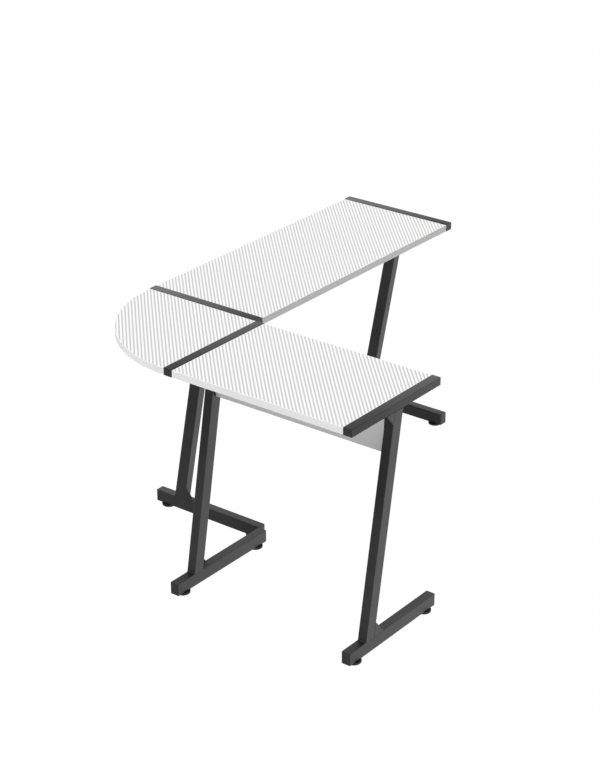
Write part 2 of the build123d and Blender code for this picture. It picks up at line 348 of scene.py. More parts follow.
@dataclass(frozen=True)
class PowderCoat(Finish):
    """Satin powder coat on steel: a dark grey with fine orange peel, and paler rubbed edges. Copies can carry
    painted shading: colour going from dark to light along one direction, standing in for reflection and
    shade.
    """

    name: str = "anthracite_powder_coat"
    colour: tuple = (0.020, 0.020, 0.021)
    fleck_colour: tuple = (0.034, 0.034, 0.036)
    rubbed_colour: tuple = (0.075, 0.075, 0.078)
    specular: float = 0.5
    mottle_size: float = 0.045
    mottle_share: float = 0.35
    fleck_size: float = 0.0006
    fleck_share: float = 0.8
    rub_size: float = 0.012
    rub_width: float = 0.0012
    rub_sharpness: float = 3.0
    rub_share: float = 0.55
    smear_size: float = 0.09
    smear_roughness: tuple = (0.37, 0.48)
    peel_size: float = 0.0016
    peel_depth: float = 0.000012
    fine_peel_size: float = 0.0004
    fine_peel_depth: float = 0.0000036
    # Painted shading: the coat's colour is scaled from one tone to another along a given way, between two
    # places along it, standing in for the reflection and shade that change along a rail.
    painted_shading_way: tuple = (1.0, 0.0, 0.0)
    painted_shading_span: tuple = (0.0, 1.0)
    painted_shading_tones: tuple = (1.0, 1.0)

    def paint(self, g: Graph) -> None:
        """Wires the coat's colour, gloss and orange peel.

        Args:
            g: the material's nodes.
        """
        mottle = g.clouds(self.mottle_size, (0.35, 0.65), (0.0, self.mottle_share), 3.0, 0.5)
        fleck = g.clouds(self.fleck_size, (0.55, 0.75), (0.0, self.fleck_share), 2.0, 0.5)
        # Painted shading: the colour is scaled from dark to light along one direction, standing in for
        # reflection and shade.
        painted_shading_colour = g.add("ShaderNodeVectorMath", operation="SCALE")
        g.feed(painted_shading_colour.inputs[0], g.blend(g.math("ADD", mottle, fleck), self.colour, self.fleck_colour))
        along = g.dot(g.place, self.painted_shading_way)
        g.feed(painted_shading_colour.inputs["Scale"], g.spread(along, self.painted_shading_span, self.painted_shading_tones))
        worn = g.clouds(self.rub_size, (0.42, 0.62), (0.0, 1.0))
        rubbed = g.math("MULTIPLY", g.edge_mask(self.rub_width, self.rub_sharpness), worn)
        share = g.math("MULTIPLY", rubbed, self.rub_share)
        g.finish("Base Color", g.blend(share, painted_shading_colour.outputs[0], self.rubbed_colour))
        g.finish("Roughness", g.clouds(self.smear_size, (0.3, 0.7), self.smear_roughness))
        peel = g.bump(g.noise(self.peel_size), self.peel_depth)
        g.finish("Normal", g.bump(g.noise(self.fine_peel_size, 1.0), self.fine_peel_depth, peel))
        g.finish("Specular IOR Level", self.specular)


@dataclass(frozen=True)
class PlainLaminate(Finish):
    """Plain white melamine with a satin pearl texture. Its default white is set darker than the worktops'
    white: white melamine with painted shade, for the shade under the worktops.
    """

    name: str = "plain_white_laminate_painted_shade"
    # Painted shade: the panels' white melamine is darker here than the worktops' white, standing in for the
    # shade under the worktops.
    white: tuple = (0.635, 0.635, 0.635)
    drift_size: float = 0.18
    drift_detail: float = 3.0
    drift_tone: float = 0.975
    smudge_size: float = 0.05
    smudge_roughness: tuple = (0.45, 0.57)
    pearl_size: float = 0.0009
    pearl_depth: float = 0.000012

    def paper(self, g: Graph) -> bpy.types.NodeSocket:
        """Adds the white, which drifts a little.

        Args:
            g: the material's nodes.

        Returns:
            The colour.
        """
        drift = g.clouds(self.drift_size, (0.35, 0.65), (0.0, 1.0), self.drift_detail, 0.5)
        return g.blend(drift, self.white, tuple(c * self.drift_tone for c in self.white))

    def pearl(self, g: Graph) -> bpy.types.NodeSocket:
        """Sets the satin gloss and adds the pearl texture.

        Args:
            g: the material's nodes.

        Returns:
            The bumped normal.
        """
        g.finish("Roughness", g.clouds(self.smudge_size, (0.35, 0.75), self.smudge_roughness, 4.0, 0.65))
        return g.bump(g.noise(self.pearl_size, 3.0, 0.6), self.pearl_depth)

    def paint(self, g: Graph) -> None:
        """Wires the laminate.

        Args:
            g: the material's nodes.
        """
        g.finish("Base Color", self.paper(g))
        g.finish("Normal", self.pearl(g))


@dataclass(frozen=True)
class StripedLaminate(PlainLaminate):
    """White melamine with fine grey diagonal lines, slightly sunk, under the same pearl texture."""

    name: str = "striped_white_laminate"
    white: tuple = (0.888, 0.888, 0.888)
    drift_size: float = 0.25
    drift_detail: float = 2.0
    drift_tone: float = 0.985
    smudge_size: float = 0.06
    smudge_roughness: tuple = (0.42, 0.54)
    pearl_depth: float = 0.00001
    grey: tuple = (0.505, 0.505, 0.505)
    pitch: float = 0.01019
    line_share: float = 0.46
    line_angle: float = 43.1
    line_softness: float = 0.06
    line_depth: float = 0.00006
    ink_size: float = 0.004
    ink_least: float = 0.93

    def lines(self, g: Graph) -> bpy.types.NodeSocket:
        """Adds the lines. Only the upper face is printed: the underside is the plain backing sheet.

        Args:
            g: the material's nodes.

        Returns:
            1 on a line and 0 beside it.
        """
        turn = math.radians(self.line_angle)
        across = g.dot(g.place, (math.cos(turn) / self.pitch, math.sin(turn) / self.pitch, 0.0))
        # Distance from the middle of a line, from 0 to 0.5 of the pitch.
        away = g.math("PINGPONG", across, 0.5)
        edge = self.line_share / 2
        span = (edge - self.line_softness, edge + self.line_softness)
        line = g.spread(away, span, (1.0, 0.0), "SMOOTHSTEP")
        rise = g.dot(g.add("ShaderNodeNewGeometry").outputs["True Normal"], tuple(UP))
        return g.math("MULTIPLY", line, g.math("GREATER_THAN", rise, FACING))

    def paint(self, g: Graph) -> None:
        """Wires the laminate and its lines.

        Args:
            g: the material's nodes.
        """
        line = self.lines(g)
        inked = g.math("MULTIPLY", line, g.clouds(self.ink_size, (0.3, 0.7), (self.ink_least, 1.0), 3.0))
        g.finish("Base Color", g.blend(inked, self.paper(g), self.grey))
        sunk = g.bump(g.math("SUBTRACT", 1.0, line), self.line_depth, self.pearl(g))
        g.finish("Normal", sunk)


@dataclass(frozen=True)
class MouldedPlastic(Finish):
    """Moulded plastic: one colour with a fine spark-eroded grain and paler rubbed edges."""

    colour: tuple
    rubbed_colour: tuple
    smear_roughness: tuple = (0.45, 0.58)
    smear_size: float = 0.015
    drift_size: float = 0.02
    drift_share: float = 0.25
    grain: float = 0.0007
    grain_depth: float = 0.00002
    rub_width: float = 0.0008
    rub_sharpness: float = 2.5
    rub_share: float = 0.5

    def paint(self, g: Graph) -> None:
        """Wires the plastic's colour, gloss and grain.

        Args:
            g: the material's nodes.
        """
        drift = g.clouds(self.drift_size, (0.35, 0.65), (0.0, self.drift_share), 3.0, 0.5)
        rub = g.math("MULTIPLY", g.edge_mask(self.rub_width, self.rub_sharpness), self.rub_share)
        g.finish("Base Color", g.blend(g.math("MAXIMUM", drift, rub), self.colour, self.rubbed_colour))
        g.finish("Roughness", g.clouds(self.smear_size, (0.3, 0.7), self.smear_roughness))
        g.finish("Normal", g.bump(g.noise(self.grain), self.grain_depth))


@dataclass(frozen=True)
class ZincPlate(Finish):
    """Bright zinc plate on steel, slightly clouded."""

    name: str = "zinc_plated_steel"
    colour: tuple = (0.60, 0.61, 0.63)
    clouded_colour: tuple = (0.42, 0.42, 0.43)
    clouded_roughness: tuple = (0.30, 0.50)
    cloud_size: float = 0.003
    grain: float = 0.0003
    grain_depth: float = 0.000006

    def paint(self, g: Graph) -> None:
        """Wires the plate's colour, gloss and grain.

        Args:
            g: the material's nodes.
        """
        cloud = g.clouds(self.cloud_size, (0.35, 0.7), (0.0, 1.0))
        g.finish("Base Color", g.blend(cloud, self.colour, self.clouded_colour))
        g.finish("Roughness", g.spread(cloud, (0.0, 1.0), self.clouded_roughness))
        g.finish("Metallic", 1.0)
        g.finish("Normal", g.bump(g.noise(self.grain), self.grain_depth))


POWDER_COAT = PowderCoat()
# Coat copies with painted shading: on each rail the colour goes from dark to light along its length, standing
# in for the reflection and shade along the rails.
LONG_RAIL_PAINTED_SHADING_COAT = PowderCoat(
    name="anthracite_powder_coat_long_rails_painted_shading",
    specular=0.28,
    painted_shading_way=(-1.0, 0.0, 0.0),
    painted_shading_span=(0.13, 0.54),
    painted_shading_tones=(0.1, 4.8),
)
SHORT_RAIL_PAINTED_SHADING_COAT = PowderCoat(
    name="anthracite_powder_coat_short_rails_painted_shading",
    specular=0.28,
    painted_shading_way=(0.0, 1.0, 0.0),
    painted_shading_span=(-0.70, -0.32),
    painted_shading_tones=(0.1, 2.7),
)
SHORT_FOOT_PAINTED_SHADING_COAT = PowderCoat(
    name="anthracite_powder_coat_short_feet_painted_shading",
    painted_shading_way=(0.0, 1.0, 0.0),
    painted_shading_span=(-0.70, -0.32),
    painted_shading_tones=(0.1, 1.1),
)
WORKTOP_LAMINATE = StripedLaminate()
PANEL_LAMINATE_PAINTED_SHADE = PlainLaminate()
EDGE_BAND = MouldedPlastic(
    "white_edge_band",
    colour=(0.78, 0.78, 0.775),
    rubbed_colour=(0.80, 0.80, 0.80),
    smear_roughness=(0.37, 0.50),
    grain=0.0009,
    grain_depth=0.000008,
    rub_width=0.0006,
)
CAP_PLASTIC = MouldedPlastic("anthracite_cap_plastic", (0.018, 0.018, 0.019), (0.05, 0.05, 0.052))
GLIDE_PLASTIC = MouldedPlastic("black_glide_nylon", (0.006, 0.006, 0.0065), (0.03, 0.03, 0.03))
ZINC_PLATE = ZincPlate()


# Modelling


def set_mode(mode: str) -> None:
    """Goes into edit or object mode, if not there yet.

    Args:
        mode: EDIT or OBJECT.
    """
    active = bpy.context.object
    if active is not None and active.mode != mode:
        bpy.ops.object.mode_set(mode=mode)


def choose(*pieces: bpy.types.Object) -> None:
    """Selects these pieces alone in object mode, with the first one active.

    Args:
        pieces: the pieces, or none to deselect everything.
    """
    set_mode("OBJECT")
    bpy.ops.object.select_all(action="DESELECT")
    for piece in pieces:
        piece.select_set(True)
    if pieces:
        bpy.context.view_layer.objects.active = pieces[0]


def start_piece(name: str) -> bpy.types.Object:
    """Names the primitive just added and fixes its place in its mesh.

    Args:
        name: the piece's name.

    Returns:
        The piece.
    """
    piece = bpy.context.object
    piece.name = piece.data.name = name
    bpy.ops.object.transform_apply(location=True, rotation=True, scale=True)
    return piece


def pick_faces(piece: bpy.types.Object, wanted: Callable[[Vector, Vector], bool]) -> None:
    """Goes into edit mode with some of the faces selected.

    Args:
        piece: the piece.
        wanted: test on a face's middle and its normal.
    """
    choose(piece)
    mesh = piece.data
    bpy.context.tool_settings.mesh_select_mode = (False, False, True)
    mesh.vertices.foreach_set("select", [False] * len(mesh.vertices))
    mesh.edges.foreach_set("select", [False] * len(mesh.edges))
    mesh.polygons.foreach_set("select", [bool(wanted(f.center, f.normal)) for f in mesh.polygons])
    set_mode("EDIT")


def pick_side(piece: bpy.types.Object, way: Vector) -> None:
    """Goes into edit mode with the faces that look one way selected.

    Args:
        piece: the piece.
        way: the direction.
    """
    pick_faces(piece, lambda middle, normal: normal.dot(way) > FACING)


def pick_edges(piece: bpy.types.Object, wanted: Callable[[Vector, Vector], bool]) -> None:
    """Goes into edit mode with some of the edges selected.

    Args:
        piece: the piece.
        wanted: test on an edge's two ends.
    """
    choose(piece)
    mesh = piece.data
    points = [vertex.co for vertex in mesh.vertices]
    bpy.context.tool_settings.mesh_select_mode = (False, True, False)
    mesh.vertices.foreach_set("select", [False] * len(mesh.vertices))
    mesh.polygons.foreach_set("select", [False] * len(mesh.polygons))
    mesh.edges.foreach_set(
        "select", [bool(wanted(points[e.vertices[0]], points[e.vertices[1]])) for e in mesh.edges]
    )
    set_mode("EDIT")


def pick_all(piece: bpy.types.Object) -> None:
    """Goes into edit mode with everything selected.

    Args:
        piece: the piece.
    """
    choose(piece)
    set_mode("EDIT")
    bpy.ops.mesh.select_all(action="SELECT")


def extrude(move: Vector) -> None:
    """Extrudes the selection along a vector."""
    bpy.ops.mesh.extrude_region_move(TRANSFORM_OT_translate={"value": tuple(move)})


def cut_level(
    piece: bpy.types.Object, height: float, drop_below: bool = False, drop_above: bool = False
) -> None:
    """Cuts a piece level, and closes the cut where one side is dropped.

    Args:
        piece: the piece.
        height: height of the cut.
        drop_below: whether the part below the cut goes.
        drop_above: whether the part above the cut goes.
    """
    pick_all(piece)
    bpy.ops.mesh.bisect(
        plane_co=(0.0, 0.0, height),
        plane_no=tuple(UP),
        threshold=MERGE_DISTANCE,
        use_fill=drop_below or drop_above,
        clear_inner=drop_below,
        clear_outer=drop_above,
    )
    set_mode("OBJECT")


def apply_modifier(piece: bpy.types.Object, kind: str, **settings: object) -> None:
    """Adds a modifier to a piece and applies it.

    Args:
        piece: the piece.
        kind: the modifier's type name.
        settings: properties to set on it.
    """
    choose(piece)
    modifier = piece.modifiers.new(kind.lower(), kind)
    for key, value in settings.items():
        setattr(modifier, key, value)
    bpy.ops.object.modifier_apply(modifier=modifier.name)


def combine(piece: bpy.types.Object, tool: bpy.types.Object, operation: str) -> None:
    """Unites a piece with a tool, or cuts it, and removes the tool.

    Args:
        piece: the piece that stays.
        tool: the other solid.
        operation: UNION or DIFFERENCE.
    """
    apply_modifier(piece, "BOOLEAN", operation=operation, solver="EXACT", object=tool)
    bpy.data.objects.remove(tool)


def place_copy(pattern: bpy.types.Object, name: str, place: Matrix) -> bpy.types.Object:
    """Copies a pattern, mesh and all, and fixes the copy's place in its mesh.

    Args:
        pattern: the piece to copy.
        name: the copy's name.
        place: where the pattern's own axes go.

    Returns:
        The copy.
    """
    choose(pattern)
    bpy.ops.object.duplicate(linked=False)
    bpy.context.object.matrix_world = place
    return start_piece(name)


def join(name: str, pieces: list) -> bpy.types.Object:
    """Joins pieces into one.

    Args:
        name: the result's name.
        pieces: the pieces, two or more.

    Returns:
        The joined piece.
    """
    choose(*pieces)
    bpy.ops.object.join()
    piece = bpy.context.object
    piece.name = piece.data.name = name
    return piece


def tidy_mesh(piece: bpy.types.Object) -> None:
    """Merges doubles, turns the faces outwards and smooths all but the sharp edges.

    Args:
        piece: the piece.
    """
    pick_all(piece)
    bpy.ops.mesh.remove_doubles(threshold=MERGE_DISTANCE)
    bpy.ops.mesh.normals_make_consistent(inside=False)
    set_mode("OBJECT")
    bpy.ops.object.shade_smooth_by_angle(angle=SMOOTH_ANGLE)


def hand_over(piece: bpy.types.Object, finish: bpy.types.Material, slot: str, body: str, *nodes: str) -> None:
    """Dresses a finished piece and ties it to the frame.

    Args:
        piece: the piece.
        finish: its material.
        slot: not used.
        body: the body that it rides on.
        nodes: the CAD nodes that it stands for.
    """
    choose(piece)
    piece.data.materials.clear()
    piece.data.materials.append(finish)
    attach(piece, body)
    if nodes:
        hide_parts(*nodes)
    log.info("made %s in %s, riding %s", piece.name, finish.name, body)


# Sub-assemblies


def dress(node: str, material: bpy.types.Material) -> None:
    """Gives a CAD node its finish.

    Args:
        node: the CAD node's name.
        material: the finish.
    """
    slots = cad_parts[node].data.materials
    slots.clear()
    slots.append(material)
    log.info("dressed %s in %s", node, material.name)


@dataclass
class Worktops:
    """The three boards and their edge bands."""

    boards: tuple = ("long_worktop", "short_worktop", "corner_worktop")

    def build(self, laminate: bpy.types.Material, band: bpy.types.Material) -> None:
        """Dresses the boards and their bands.

        Args:
            laminate: the boards' finish.
            band: the edge bands' finish.
        """
        for board in self.boards:
            dress(board, laminate)
            dress(f"{board}_bands", band)


@dataclass
class ModestyPanels:
    """The two upright boards between the posts, and the band under each."""

    wings: tuple = ("long", "short")

    def build(self, laminate: bpy.types.Material, band: bpy.types.Material) -> None:
        """Dresses the panels and their bands.

        Args:
            laminate: the panels' finish.
            band: the edge bands' finish.
        """
        for wing in self.wings:
            dress(f"{wing}_modesty_panel", laminate)
            dress(f"{wing}_modesty_band", band)


@dataclass
class ZFrame:
    """One welded frame: top rail, slanted post, foot rail and two gussets."""

    place: FrameName
    parts: tuple = ("post", "top_gusset", "foot_gusset")

    def build(
        self, coat: bpy.types.Material, rail_coat: bpy.types.Material, foot_coat: bpy.types.Material
    ) -> None:
        """Dresses the tubes and gussets.

        Args:
            coat: the powder coat.
            rail_coat: the powder coat on the top rail, a copy with painted shading along it.
            foot_coat: the powder coat on the foot rail; on the short frames, a copy with painted shading
                along it.
        """
        for part in self.parts:
            dress(f"{self.place.value}_{part}", coat)
        dress(f"{self.place.value}_top_rail", rail_coat)
        dress(f"{self.place.value}_foot_rail", foot_coat)


@dataclass
class Thread:
    """A solid with a helical V-thread round its axis, tapered at its tip."""

    crest: float
    pitch: float
    depth: float
    low: float
    high: float
    taper_length: float
    taper: float
    steps: int = 20
    spare_turns: int = 3

    def model(self, name: str) -> bpy.types.Object:
        """Models the thread about +Z.

        Args:
            name: the piece's name.

        Returns:
            A closed solid.
        """
        choose()
        # A triangle whose apex is the crest. Without its root edge, it is one pitch of the profile.
        bpy.ops.mesh.primitive_circle_add(
            vertices=3,
            radius=1.0,
            fill_type="NOTHING",
            location=(self.crest - self.depth * 2 / 3, 0.0, self.low - self.pitch),
            rotation=(-math.pi / 2, -math.pi / 2, 0.0),
        )
        bpy.context.object.scale = (self.pitch / math.sqrt(3), self.depth / 1.5, 1.0)
        piece = start_piece(name)
        root = self.crest - self.depth / 2
        pick_edges(piece, lambda a, b: max(a.x, b.x) < root)
        bpy.ops.mesh.delete(type="EDGE")
        apply_modifier(
            piece,
            "SCREW",
            axis="Z",
            screw_offset=self.pitch,
            steps=self.steps,
            render_steps=self.steps,
            iterations=math.ceil((self.high - self.low) / self.pitch) + self.spare_turns,
        )
        pick_all(piece)
        bpy.ops.mesh.remove_doubles(threshold=MERGE_DISTANCE)
        cut_level(piece, self.low, drop_below=True)
        cut_level(piece, self.high, drop_above=True)
        tidy_mesh(piece)
        for share in (1.0, 0.5):
            start = self.high - self.taper_length * share
            pick_faces(piece, lambda middle, normal: middle.z > start)
            bpy.ops.transform.resize(
                value=(self.taper, self.taper, 1.0), center_override=(0.0, 0.0, self.high)
            )
        set_mode("OBJECT")
        return piece


@dataclass
class GlidePad:
    """The moulded pad of a glide: a wide disc with a raised ring underneath and a low boss on top."""

    radius: float = 0.0225
    height: float = 0.008
    boss_radius: float = 0.010
    boss_height: float = 0.0008
    bore_radius: float = 0.00402
    bore_floor: float = 0.003
    ring_width: float = 0.0065
    hollow_depth: float = 0.0012
    hub_radius: float = 0.007
    hub_height: float = 0.00072
    gate_radius: float = 0.0018
    gate_depth: float = 0.00036
    bottom_round: float = 0.003
    top_round: float = 0.001
    edge_round: float = 0.0003
    parting_height: float = 0.0052
    parting_width: float = 0.0005
    parting_depth: float = 0.00015

    def model(self) -> bpy.types.Object:
        """Models the pad about +Z, with its underside on the floor.

        Returns:
            The pattern that every glide's pad is copied from.
        """
        choose()
        bpy.ops.mesh.primitive_cylinder_add(
            vertices=64, radius=self.radius, depth=self.height, location=(0.0, 0.0, self.height / 2)
        )
        piece = start_piece("glide_pad_pattern")
        # Top: the boss, and the bore that the stud stands in.
        pick_side(piece, UP)
        bpy.ops.mesh.inset(thickness=self.radius - self.boss_radius)
        extrude(UP * self.boss_height)
        bpy.ops.mesh.inset(thickness=self.boss_radius - self.bore_radius)
        extrude(UP * (self.bore_floor - self.height - self.boss_height))
        # Underside: a ring on the floor, a hollow inside it, and a hub with its gate mark.
        pick_side(piece, -UP)
        bpy.ops.mesh.inset(thickness=self.ring_width)
        extrude(UP * self.hollow_depth)
        bpy.ops.mesh.inset(thickness=self.radius - self.ring_width - self.hub_radius)
        extrude(UP * -self.hub_height)
        bpy.ops.mesh.inset(thickness=self.hub_radius - self.gate_radius)
        extrude(UP * self.gate_depth)
        # Side: the moulding's parting line, a fine groove.
        for edge in (-1, 1):
            cut_level(piece, self.parting_height + edge * self.parting_width / 2)
        rim = self.radius - self.top_round
        pick_faces(
            piece,
            lambda middle, normal: abs(middle.z - self.parting_height) < self.parting_width / 4
            and middle.xy.length > rim,
        )
        bpy.ops.mesh.extrude_region_shrink_fatten(
            TRANSFORM_OT_shrink_fatten={"value": -self.parting_depth}
        )
        # Rounded rims.
        for height, wide, size, segments in (
            (0.0, True, self.bottom_round, 6),
            (self.height, True, self.top_round, 3),
            (0.0, False, self.edge_round, 2),
            (self.height + self.boss_height, False, self.edge_round, 2),
        ):
            pick_edges(
                piece,
                lambda a, b: abs(a.z - height) < MERGE_DISTANCE
                and abs(b.z - height) < MERGE_DISTANCE
                and abs(a.xy.length - b.xy.length) < MERGE_DISTANCE
                and (a.xy.length > rim) == wide,
            )
            bpy.ops.mesh.bevel(offset=size, segments=segments, affect="EDGES")
        tidy_mesh(piece)
        return piece


@dataclass
class LevellingGlides:
    """Two glides under each foot rail: a moulded pad on a stud with an M8 thread."""

    pad: GlidePad = field(default_factory=GlidePad)
    stud_crest: float = 0.004
    stud_pitch: float = 0.00125
    stud_thread_depth: float = 0.00077
    stud_taper_length: float = 0.0012
    stud_taper: float = 0.9

    def build(self, plastic: bpy.types.Material, zinc: bpy.types.Material) -> None:
        """Models one pad and one stud, and copies them to every glide.

        Args:
            plastic: the pads' finish.
            zinc: the studs' finish.
        """
        pad = self.pad.model()
        low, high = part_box(f"{FrameName.LONG_END.value}_{GlideEnd.INNER.value}_glide_stud")
        stud = Thread(
            crest=self.stud_crest,
            pitch=self.stud_pitch,
            depth=self.stud_thread_depth,
            low=low.z,
            high=high.z,
            taper_length=self.stud_taper_length,
            taper=self.stud_taper,
        ).model("glide_stud_pattern")
        for place in FrameName:
            for end in GlideEnd:
                body = f"{place.value}_{end.value}_glide"
                low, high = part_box(f"{body}_pad")
                middle = Matrix.Translation(((low.x + high.x) / 2, (low.y + high.y) / 2, 0.0))
                for pattern, part, make, finish, slot in (
                    (pad, "pad", "moulded", plastic, "glide_plastic"),
                    (stud, "stud", "threaded", zinc, "zinc_plated_steel"),
                ):
                    piece = place_copy(pattern, f"{body}_{make}_{part}", middle)
                    hand_over(piece, finish, slot, body, f"{body}_{part}")
        for pattern in (pad, stud):
            bpy.data.objects.remove(pattern)


@dataclass
class WoodScrew:
    """A pan-head wood screw with a cross recess. It looks along +Z into the wood from its head's seat."""

    head_radius: float = 0.0045
    head_height: float = 0.0026
    head_round: float = 0.0017
    recess_length: float = 0.0046
    recess_width: float = 0.0010
    recess_depth: float = 0.0016
    recess_taper: float = 0.5
    shank_crest: float = 0.0022
    thread_pitch: float = 0.0018
    thread_depth: float = 0.0006
    shank_length: float = 0.015
    thread_steps: int = 16
    tip_length: float = 0.004
    tip_taper: float = 0.42

    def model(self) -> bpy.types.Object:
        """Models the screw.

        Returns:
            The pattern that every screw is copied from.
        """
        choose()
        bpy.ops.mesh.primitive_cylinder_add(
            vertices=40,
            radius=self.head_radius,
            depth=self.head_height,
            location=(0.0, 0.0, -self.head_height / 2),
        )
        piece = start_piece("wood_screw_pattern")
        top = -self.head_height
        pick_edges(piece, lambda a, b: max(a.z, b.z) < top + MERGE_DISTANCE)
        bpy.ops.mesh.bevel(offset=self.head_round, segments=5, affect="EDGES")
        for turn in (0.0, math.pi / 2):
            choose()
            bpy.ops.mesh.primitive_cube_add(
                size=1.0,
                location=(0.0, 0.0, top),
                rotation=(0.0, 0.0, turn),
                scale=(self.recess_length, self.recess_width, self.recess_depth * 2),
            )
            recess = start_piece("recess_tool")
            pick_side(recess, UP)
            bpy.ops.transform.resize(
                value=(self.recess_taper, self.recess_taper, 1.0), center_override=(0.0, 0.0, top)
            )
            combine(piece, recess, "DIFFERENCE")
        shank = Thread(
            crest=self.shank_crest,
            pitch=self.thread_pitch,
            depth=self.thread_depth,
            low=top / 2,
            high=self.shank_length,
            taper_length=self.tip_length,
            taper=self.tip_taper,
            steps=self.thread_steps,
        ).model("screw_shank")
        combine(piece, shank, "UNION")
        tidy_mesh(piece)
        return piece


@dataclass
class WoodScrews:
    """The screws through the steel tabs: up into the worktops, and level into the modesty panels."""

    screw: WoodScrew = field(default_factory=WoodScrew)
    tab_thickness: float = 0.003
    worktop_end_inset: float = 0.060
    worktop_side_reach: float = 0.030
    panel_end_reach: float = 0.017
    panel_spacing: float = 0.034

    def worktop_seats(self) -> list:
        """Finds where the worktop screws' heads seat, on the tabs' undersides.

        Returns:
            One matrix for each screw.
        """
        seats = []
        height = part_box("long_worktop")[0].z - self.tab_thickness
        for place in FrameName:
            for side in place.board_sides():
                for along in (self.worktop_end_inset, place.depth() - self.worktop_end_inset):
                    spot = Vector((along, side * self.worktop_side_reach, height))
                    seats.append(Matrix.Translation(place.seat() @ spot))
        return seats

    def panel_seats(self) -> list:
        """Finds where the panel screws' heads seat, on the tabs' inner faces.

        Returns:
            One matrix for each screw.
        """
        seats = []
        tab_low, tab_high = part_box("modesty_panel_tabs")
        tab_middle = (tab_low.z + tab_high.z) / 2
        for panel, place in (
            ("long_modesty_panel", FrameName.LONG_END),
            ("short_modesty_panel", FrameName.SHORT_END),
        ):
            low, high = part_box(panel)
            across = place.along()
            run = Vector((-across.y, -across.x, 0.0))
            middle, half = (low + high) / 2, (high - low) / 2
            face = middle - across * (abs(half.dot(across)) + self.tab_thickness)
            for end in (-1, 1):
                for level in (-1, 1):
                    spot = face + run * end * (abs(half.dot(run)) - self.panel_end_reach)
                    spot.z = tab_middle + level * self.panel_spacing / 2
                    turn = UP.rotation_difference(across).to_matrix().to_4x4()
                    seats.append(Matrix.Translation(spot) @ turn)
        return seats

    def build(self, zinc: bpy.types.Material) -> None:
        """Models one screw and copies it to every seat.

        Args:
            zinc: the screws' finish.
        """
        pattern = self.screw.model()
        for node, seats in (
            ("worktop_screws", self.worktop_seats()),
            ("modesty_panel_screws", self.panel_seats()),
        ):
            copies = [place_copy(pattern, f"{node}_copy_{i}", seat) for i, seat in enumerate(seats)]
            piece = join(f"{node}_cross_recessed", copies)
            hand_over(piece, zinc, "zinc_plated_steel", ROOT_BODY, node)
        bpy.data.objects.remove(pattern)


@dataclass
class EndCaps:
    """Moulded caps in both ends of every rail: a rounded flange outside, and a hollow plug inside."""

    width: float = 0.030
    corner_radius: float = 0.002
    rim_round: float = 0.0008
    clearance: float = 0.0002
    plug_length: float = 0.008
    plug_wall: float = 0.0015

    def model(self, height: float) -> bpy.types.Object:
        """Models one cap, with its outer face at the origin and its plug along +X.

        Args:
            height: height of the rail.

        Returns:
            The pattern that the caps of that height are copied from.
        """
        choose()
        bpy.ops.mesh.primitive_cube_add(
            size=1.0, location=(CAP_FLANGE / 2, 0.0, 0.0), scale=(CAP_FLANGE, self.width, height)
        )
        piece = start_piece("end_cap_pattern")
        pick_side(piece, ALONG_X)
        bpy.ops.mesh.inset(thickness=TUBE_WALL + self.clearance)
        extrude(ALONG_X * self.plug_length)
        bpy.ops.mesh.inset(thickness=self.plug_wall)
        extrude(ALONG_X * -self.plug_length)
        corner_y, corner_z = self.width / 2 - MERGE_DISTANCE, height / 2 - MERGE_DISTANCE
        pick_edges(
            piece,
            lambda a, b: abs(a.x - b.x) > MERGE_DISTANCE and abs(a.y) > corner_y and abs(a.z) > corner_z,
        )
        bpy.ops.mesh.bevel(offset=self.corner_radius, segments=5, affect="EDGES")
        pick_edges(piece, lambda a, b: max(a.x, b.x) < MERGE_DISTANCE)
        bpy.ops.mesh.bevel(offset=self.rim_round, segments=4, affect="EDGES")
        tidy_mesh(piece)
        return piece

    def build(self, plastic: bpy.types.Material) -> None:
        """Models a cap for each size of rail and copies it to every end.

        Args:
            plastic: the caps' finish.
        """
        for rail in ("top_rail", "foot_rail"):
            low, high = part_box(f"{FrameName.LONG_END.value}_{rail}")
            pattern = self.model(high.z - low.z)
            copies = []
            for place in FrameName:
                for spot, turn in ((0.0, 0.0), (place.depth(), math.pi)):
                    end = Matrix.Translation((spot, 0.0, (low.z + high.z) / 2))
                    end @= Matrix.Rotation(turn, 4, "Z")
                    copies.append(place_copy(pattern, f"{rail}_cap_copy", place.seat() @ end))
            hand_over(
                join(f"{rail}_moulded_caps", copies), plastic, "cap_plastic", ROOT_BODY, f"{rail}_end_caps"
            )
            bpy.data.objects.remove(pattern)


